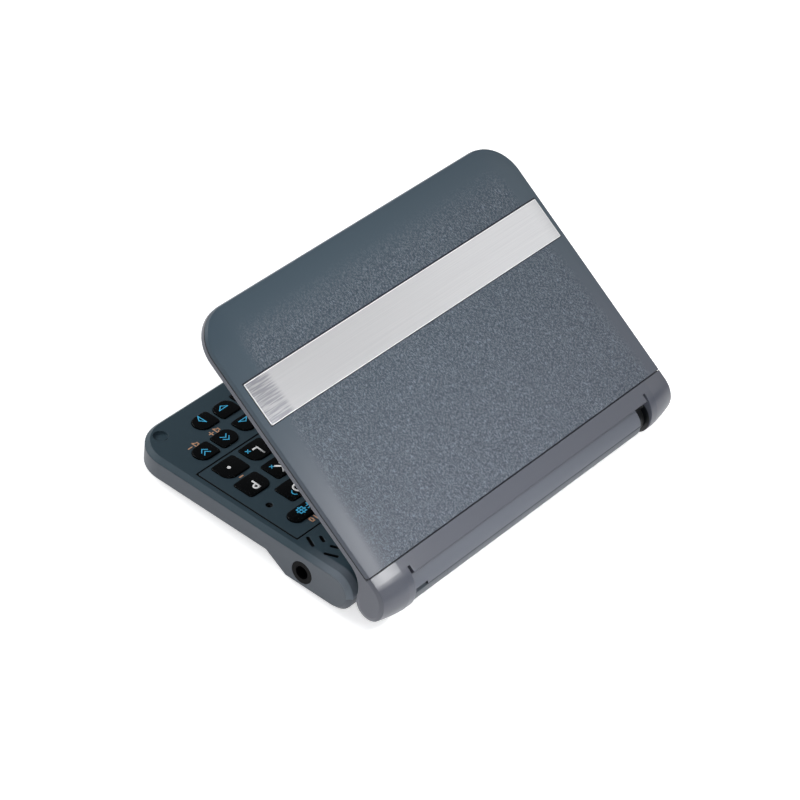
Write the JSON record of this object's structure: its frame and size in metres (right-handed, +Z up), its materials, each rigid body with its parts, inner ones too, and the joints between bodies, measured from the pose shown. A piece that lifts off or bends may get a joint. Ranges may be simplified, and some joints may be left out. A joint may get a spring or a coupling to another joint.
{
  "type": "electronic dictionary",
  "caption": "Pocket electronic dictionary: a clamshell with a keyboard in its base and a display in its hinged lid.",
  "frame": {"origin": "centre of the bounding box on the surface that the rubber feet stand on, lid open as pictured", "axes": "+X to the user's right along the hinge, +Y from the front edge to the hinge, +Z up"},
  "size_m": [0.112, 0.0818, 0.0533],
  "materials": {
    "shell_plastic": "satin moulded, with fine leather grain on the lid",
    "deck_plastic": "matt, very fine spark texture",
    "key_plastic": "polished",
    "brushed_aluminium": "brushed along its length, bright cut edges",
    "keypad_rubber": "moulded silicone",
    "foot_rubber": "moulded rubber",
    "circuit_board": "solder resist",
    "socket_plastic": "moulded",
    "speaker_frame": "moulded",
    "cell_wrap": "foil wrapped",
    "screw_steel": "blackened",
    "pin_steel": "ground and blackened",
    "display": "liquid crystal panel, off",
    "window_acrylic": "clear acrylic, polished"
  },
  "bodies": {
    "base": {"bottom_case": "shell_plastic", "deck_case": "deck_plastic", "key_panel": "deck_plastic", "keypad_mat": "keypad_rubber", "main_board": "circuit_board", "headphone_jack": "socket_plastic", "speaker": "speaker_frame", "battery_cell": "cell_wrap", "case_screws": "screw_steel", "feet": "foot_rubber"},
    "battery_door": {"battery_door": "shell_plastic"},
    "lid": {"hinge_pins": "pin_steel", "lid_cover": "shell_plastic", "lid_frame": "shell_plastic", "trim_strip": "brushed_aluminium", "display_module": "display", "display_window": "window_acrylic", "lid_bumpers": "foot_rubber"},
    "key_q": {"key_q": "key_plastic"},
    "key_w": {"key_w": "key_plastic"},
    "key_e": {"key_e": "key_plastic"},
    "key_r": {"key_r": "key_plastic"},
    "key_t": {"key_t": "key_plastic"},
    "key_y": {"key_y": "key_plastic"},
    "key_u": {"key_u": "key_plastic"},
    "key_i": {"key_i": "key_plastic"},
    "key_o": {"key_o": "key_plastic"},
    "key_a": {"key_a": "key_plastic"},
    "key_s": {"key_s": "key_plastic"},
    "key_d": {"key_d": "key_plastic"},
    "key_f": {"key_f": "key_plastic"},
    "key_g": {"key_g": "key_plastic"},
    "key_h": {"key_h": "key_plastic"},
    "key_j": {"key_j": "key_plastic"},
    "key_k": {"key_k": "key_plastic"},
    "key_p": {"key_p": "key_plastic"},
    "key_z": {"key_z": "key_plastic"},
    "key_x": {"key_x": "key_plastic"},
    "key_c": {"key_c": "key_plastic"},
    "key_v": {"key_v": "key_plastic"},
    "key_b": {"key_b": "key_plastic"},
    "key_n": {"key_n": "key_plastic"},
    "key_m": {"key_m": "key_plastic"},
    "key_l": {"key_l": "key_plastic"},
    "key_stop": {"key_stop": "key_plastic"},
    "key_escape": {"key_escape": "key_plastic"},
    "key_shift": {"key_shift": "key_plastic"},
    "key_symbol": {"key_symbol": "key_plastic"},
    "key_dictionary": {"key_dictionary": "key_plastic"},
    "key_translate": {"key_translate": "key_plastic"},
    "key_study": {"key_study": "key_plastic"},
    "key_tools": {"key_tools": "key_plastic"},
    "key_up": {"key_up": "key_plastic"},
    "key_down": {"key_down": "key_plastic"},
    "key_right": {"key_right": "key_plastic"},
    "key_left": {"key_left": "key_plastic"},
    "key_page_up": {"key_page_up": "key_plastic"},
    "key_page_down": {"key_page_down": "key_plastic"},
    "key_enter": {"key_enter": "key_plastic"},
    "key_power": {"key_power": "key_plastic"}
  },
  "joints": [
    {"name": "lid_hinge", "type": "hinge", "parent": "base", "child": "lid", "pos_m": [0, 0.03541, 0.00917], "axis": [-1, 0, 0], "range_deg": [-34.6, 115.4]},
    {"name": "battery_door_slide", "type": "slide", "parent": "base", "child": "battery_door", "axis": [0, -0.9975, -0.07], "range_m": [-0.004, 0]},
    {"name": "key_q_press", "type": "slide", "parent": "base", "child": "key_q", "axis": [0, 0.07, -0.9975], "range_m": [0, 0.0006], "stiffness_N_per_m": 400},
    {"name": "key_w_press", "type": "slide", "parent": "base", "child": "key_w", "axis": [0, 0.07, -0.9975], "range_m": [0, 0.0006], "stiffness_N_per_m": 400},
    {"name": "key_e_press", "type": "slide", "parent": "base", "child": "key_e", "axis": [0, 0.07, -0.9975], "range_m": [0, 0.0006], "stiffness_N_per_m": 400},
    {"name": "key_r_press", "type": "slide", "parent": "base", "child": "key_r", "axis": [0, 0.07, -0.9975], "range_m": [0, 0.0006], "stiffness_N_per_m": 400},
    {"name": "key_t_press", "type": "slide", "parent": "base", "child": "key_t", "axis": [0, 0.07, -0.9975], "range_m": [0, 0.0006], "stiffness_N_per_m": 400},
    {"name": "key_y_press", "type": "slide", "parent": "base", "child": "key_y", "axis": [0, 0.07, -0.9975], "range_m": [0, 0.0006], "stiffness_N_per_m": 400},
    {"name": "key_u_press", "type": "slide", "parent": "base", "child": "key_u", "axis": [0, 0.07, -0.9975], "range_m": [0, 0.0006], "stiffness_N_per_m": 400},
    {"name": "key_i_press", "type": "slide", "parent": "base", "child": "key_i", "axis": [0, 0.07, -0.9975], "range_m": [0, 0.0006], "stiffness_N_per_m": 400},
    {"name": "key_o_press", "type": "slide", "parent": "base", "child": "key_o", "axis": [0, 0.07, -0.9975], "range_m": [0, 0.0006], "stiffness_N_per_m": 400},
    {"name": "key_a_press", "type": "slide", "parent": "base", "child": "key_a", "axis": [0, 0.07, -0.9975], "range_m": [0, 0.0006], "stiffness_N_per_m": 400},
    {"name": "key_s_press", "type": "slide", "parent": "base", "child": "key_s", "axis": [0, 0.07, -0.9975], "range_m": [0, 0.0006], "stiffness_N_per_m": 400},
    {"name": "key_d_press", "type": "slide", "parent": "base", "child": "key_d", "axis": [0, 0.07, -0.9975], "range_m": [0, 0.0006], "stiffness_N_per_m": 400},
    {"name": "key_f_press", "type": "slide", "parent": "base", "child": "key_f", "axis": [0, 0.07, -0.9975], "range_m": [0, 0.0006], "stiffness_N_per_m": 400},
    {"name": "key_g_press", "type": "slide", "parent": "base", "child": "key_g", "axis": [0, 0.07, -0.9975], "range_m": [0, 0.0006], "stiffness_N_per_m": 400},
    {"name": "key_h_press", "type": "slide", "parent": "base", "child": "key_h", "axis": [0, 0.07, -0.9975], "range_m": [0, 0.0006], "stiffness_N_per_m": 400},
    {"name": "key_j_press", "type": "slide", "parent": "base", "child": "key_j", "axis": [0, 0.07, -0.9975], "range_m": [0, 0.0006], "stiffness_N_per_m": 400},
    {"name": "key_k_press", "type": "slide", "parent": "base", "child": "key_k", "axis": [0, 0.07, -0.9975], "range_m": [0, 0.0006], "stiffness_N_per_m": 400},
    {"name": "key_p_press", "type": "slide", "parent": "base", "child": "key_p", "axis": [0, 0.07, -0.9975], "range_m": [0, 0.0006], "stiffness_N_per_m": 400},
    {"name": "key_z_press", "type": "slide", "parent": "base", "child": "key_z", "axis": [0, 0.07, -0.9975], "range_m": [0, 0.0006], "stiffness_N_per_m": 400},
    {"name": "key_x_press", "type": "slide", "parent": "base", "child": "key_x", "axis": [0, 0.07, -0.9975], "range_m": [0, 0.0006], "stiffness_N_per_m": 400},
    {"name": "key_c_press", "type": "slide", "parent": "base", "child": "key_c", "axis": [0, 0.07, -0.9975], "range_m": [0, 0.0006], "stiffness_N_per_m": 400},
    {"name": "key_v_press", "type": "slide", "parent": "base", "child": "key_v", "axis": [0, 0.07, -0.9975], "range_m": [0, 0.0006], "stiffness_N_per_m": 400},
    {"name": "key_b_press", "type": "slide", "parent": "base", "child": "key_b", "axis": [0, 0.07, -0.9975], "range_m": [0, 0.0006], "stiffness_N_per_m": 400},
    {"name": "key_n_press", "type": "slide", "parent": "base", "child": "key_n", "axis": [0, 0.07, -0.9975], "range_m": [0, 0.0006], "stiffness_N_per_m": 400},
    {"name": "key_m_press", "type": "slide", "parent": "base", "child": "key_m", "axis": [0, 0.07, -0.9975], "range_m": [0, 0.0006], "stiffness_N_per_m": 400},
    {"name": "key_l_press", "type": "slide", "parent": "base", "child": "key_l", "axis": [0, 0.07, -0.9975], "range_m": [0, 0.0006], "stiffness_N_per_m": 400},
    {"name": "key_stop_press", "type": "slide", "parent": "base", "child": "key_stop", "axis": [0, 0.07, -0.9975], "range_m": [0, 0.0006], "stiffness_N_per_m": 400},
    {"name": "key_escape_press", "type": "slide", "parent": "base", "child": "key_escape", "axis": [0, 0.07, -0.9975], "range_m": [0, 0.0006], "stiffness_N_per_m": 400},
    {"name": "key_shift_press", "type": "slide", "parent": "base", "child": "key_shift", "axis": [0, 0.07, -0.9975], "range_m": [0, 0.0006], "stiffness_N_per_m": 400},
    {"name": "key_symbol_press", "type": "slide", "parent": "base", "child": "key_symbol", "axis": [0, 0.07, -0.9975], "range_m": [0, 0.0006], "stiffness_N_per_m": 400},
    {"name": "key_dictionary_press", "type": "slide", "parent": "base", "child": "key_dictionary", "axis": [0, 0.07, -0.9975], "range_m": [0, 0.0006], "stiffness_N_per_m": 400},
    {"name": "key_translate_press", "type": "slide", "parent": "base", "child": "key_translate", "axis": [0, 0.07, -0.9975], "range_m": [0, 0.0006], "stiffness_N_per_m": 400},
    {"name": "key_study_press", "type": "slide", "parent": "base", "child": "key_study", "axis": [0, 0.07, -0.9975], "range_m": [0, 0.0006], "stiffness_N_per_m": 400},
    {"name": "key_tools_press", "type": "slide", "parent": "base", "child": "key_tools", "axis": [0, 0.07, -0.9975], "range_m": [0, 0.0006], "stiffness_N_per_m": 400},
    {"name": "key_up_press", "type": "slide", "parent": "base", "child": "key_up", "axis": [0, 0.07, -0.9975], "range_m": [0, 0.0006], "stiffness_N_per_m": 400},
    {"name": "key_down_press", "type": "slide", "parent": "base", "child": "key_down", "axis": [0, 0.07, -0.9975], "range_m": [0, 0.0006], "stiffness_N_per_m": 400},
    {"name": "key_right_press", "type": "slide", "parent": "base", "child": "key_right", "axis": [0, 0.07, -0.9975], "range_m": [0, 0.0006], "stiffness_N_per_m": 400},
    {"name": "key_left_press", "type": "slide", "parent": "base", "child": "key_left", "axis": [0, 0.07, -0.9975], "range_m": [0, 0.0006], "stiffness_N_per_m": 400},
    {"name": "key_page_up_press", "type": "slide", "parent": "base", "child": "key_page_up", "axis": [0, 0.07, -0.9975], "range_m": [0, 0.0006], "stiffness_N_per_m": 400},
    {"name": "key_page_down_press", "type": "slide", "parent": "base", "child": "key_page_down", "axis": [0, 0.07, -0.9975], "range_m": [0, 0.0006], "stiffness_N_per_m": 400},
    {"name": "key_enter_press", "type": "slide", "parent": "base", "child": "key_enter", "axis": [0, 0.07, -0.9975], "range_m": [0, 0.0006], "stiffness_N_per_m": 400},
    {"name": "key_power_press", "type": "slide", "parent": "base", "child": "key_power", "axis": [0, 0.07, -0.9975], "range_m": [0, 0.0006], "stiffness_N_per_m": 400}
  ]
}
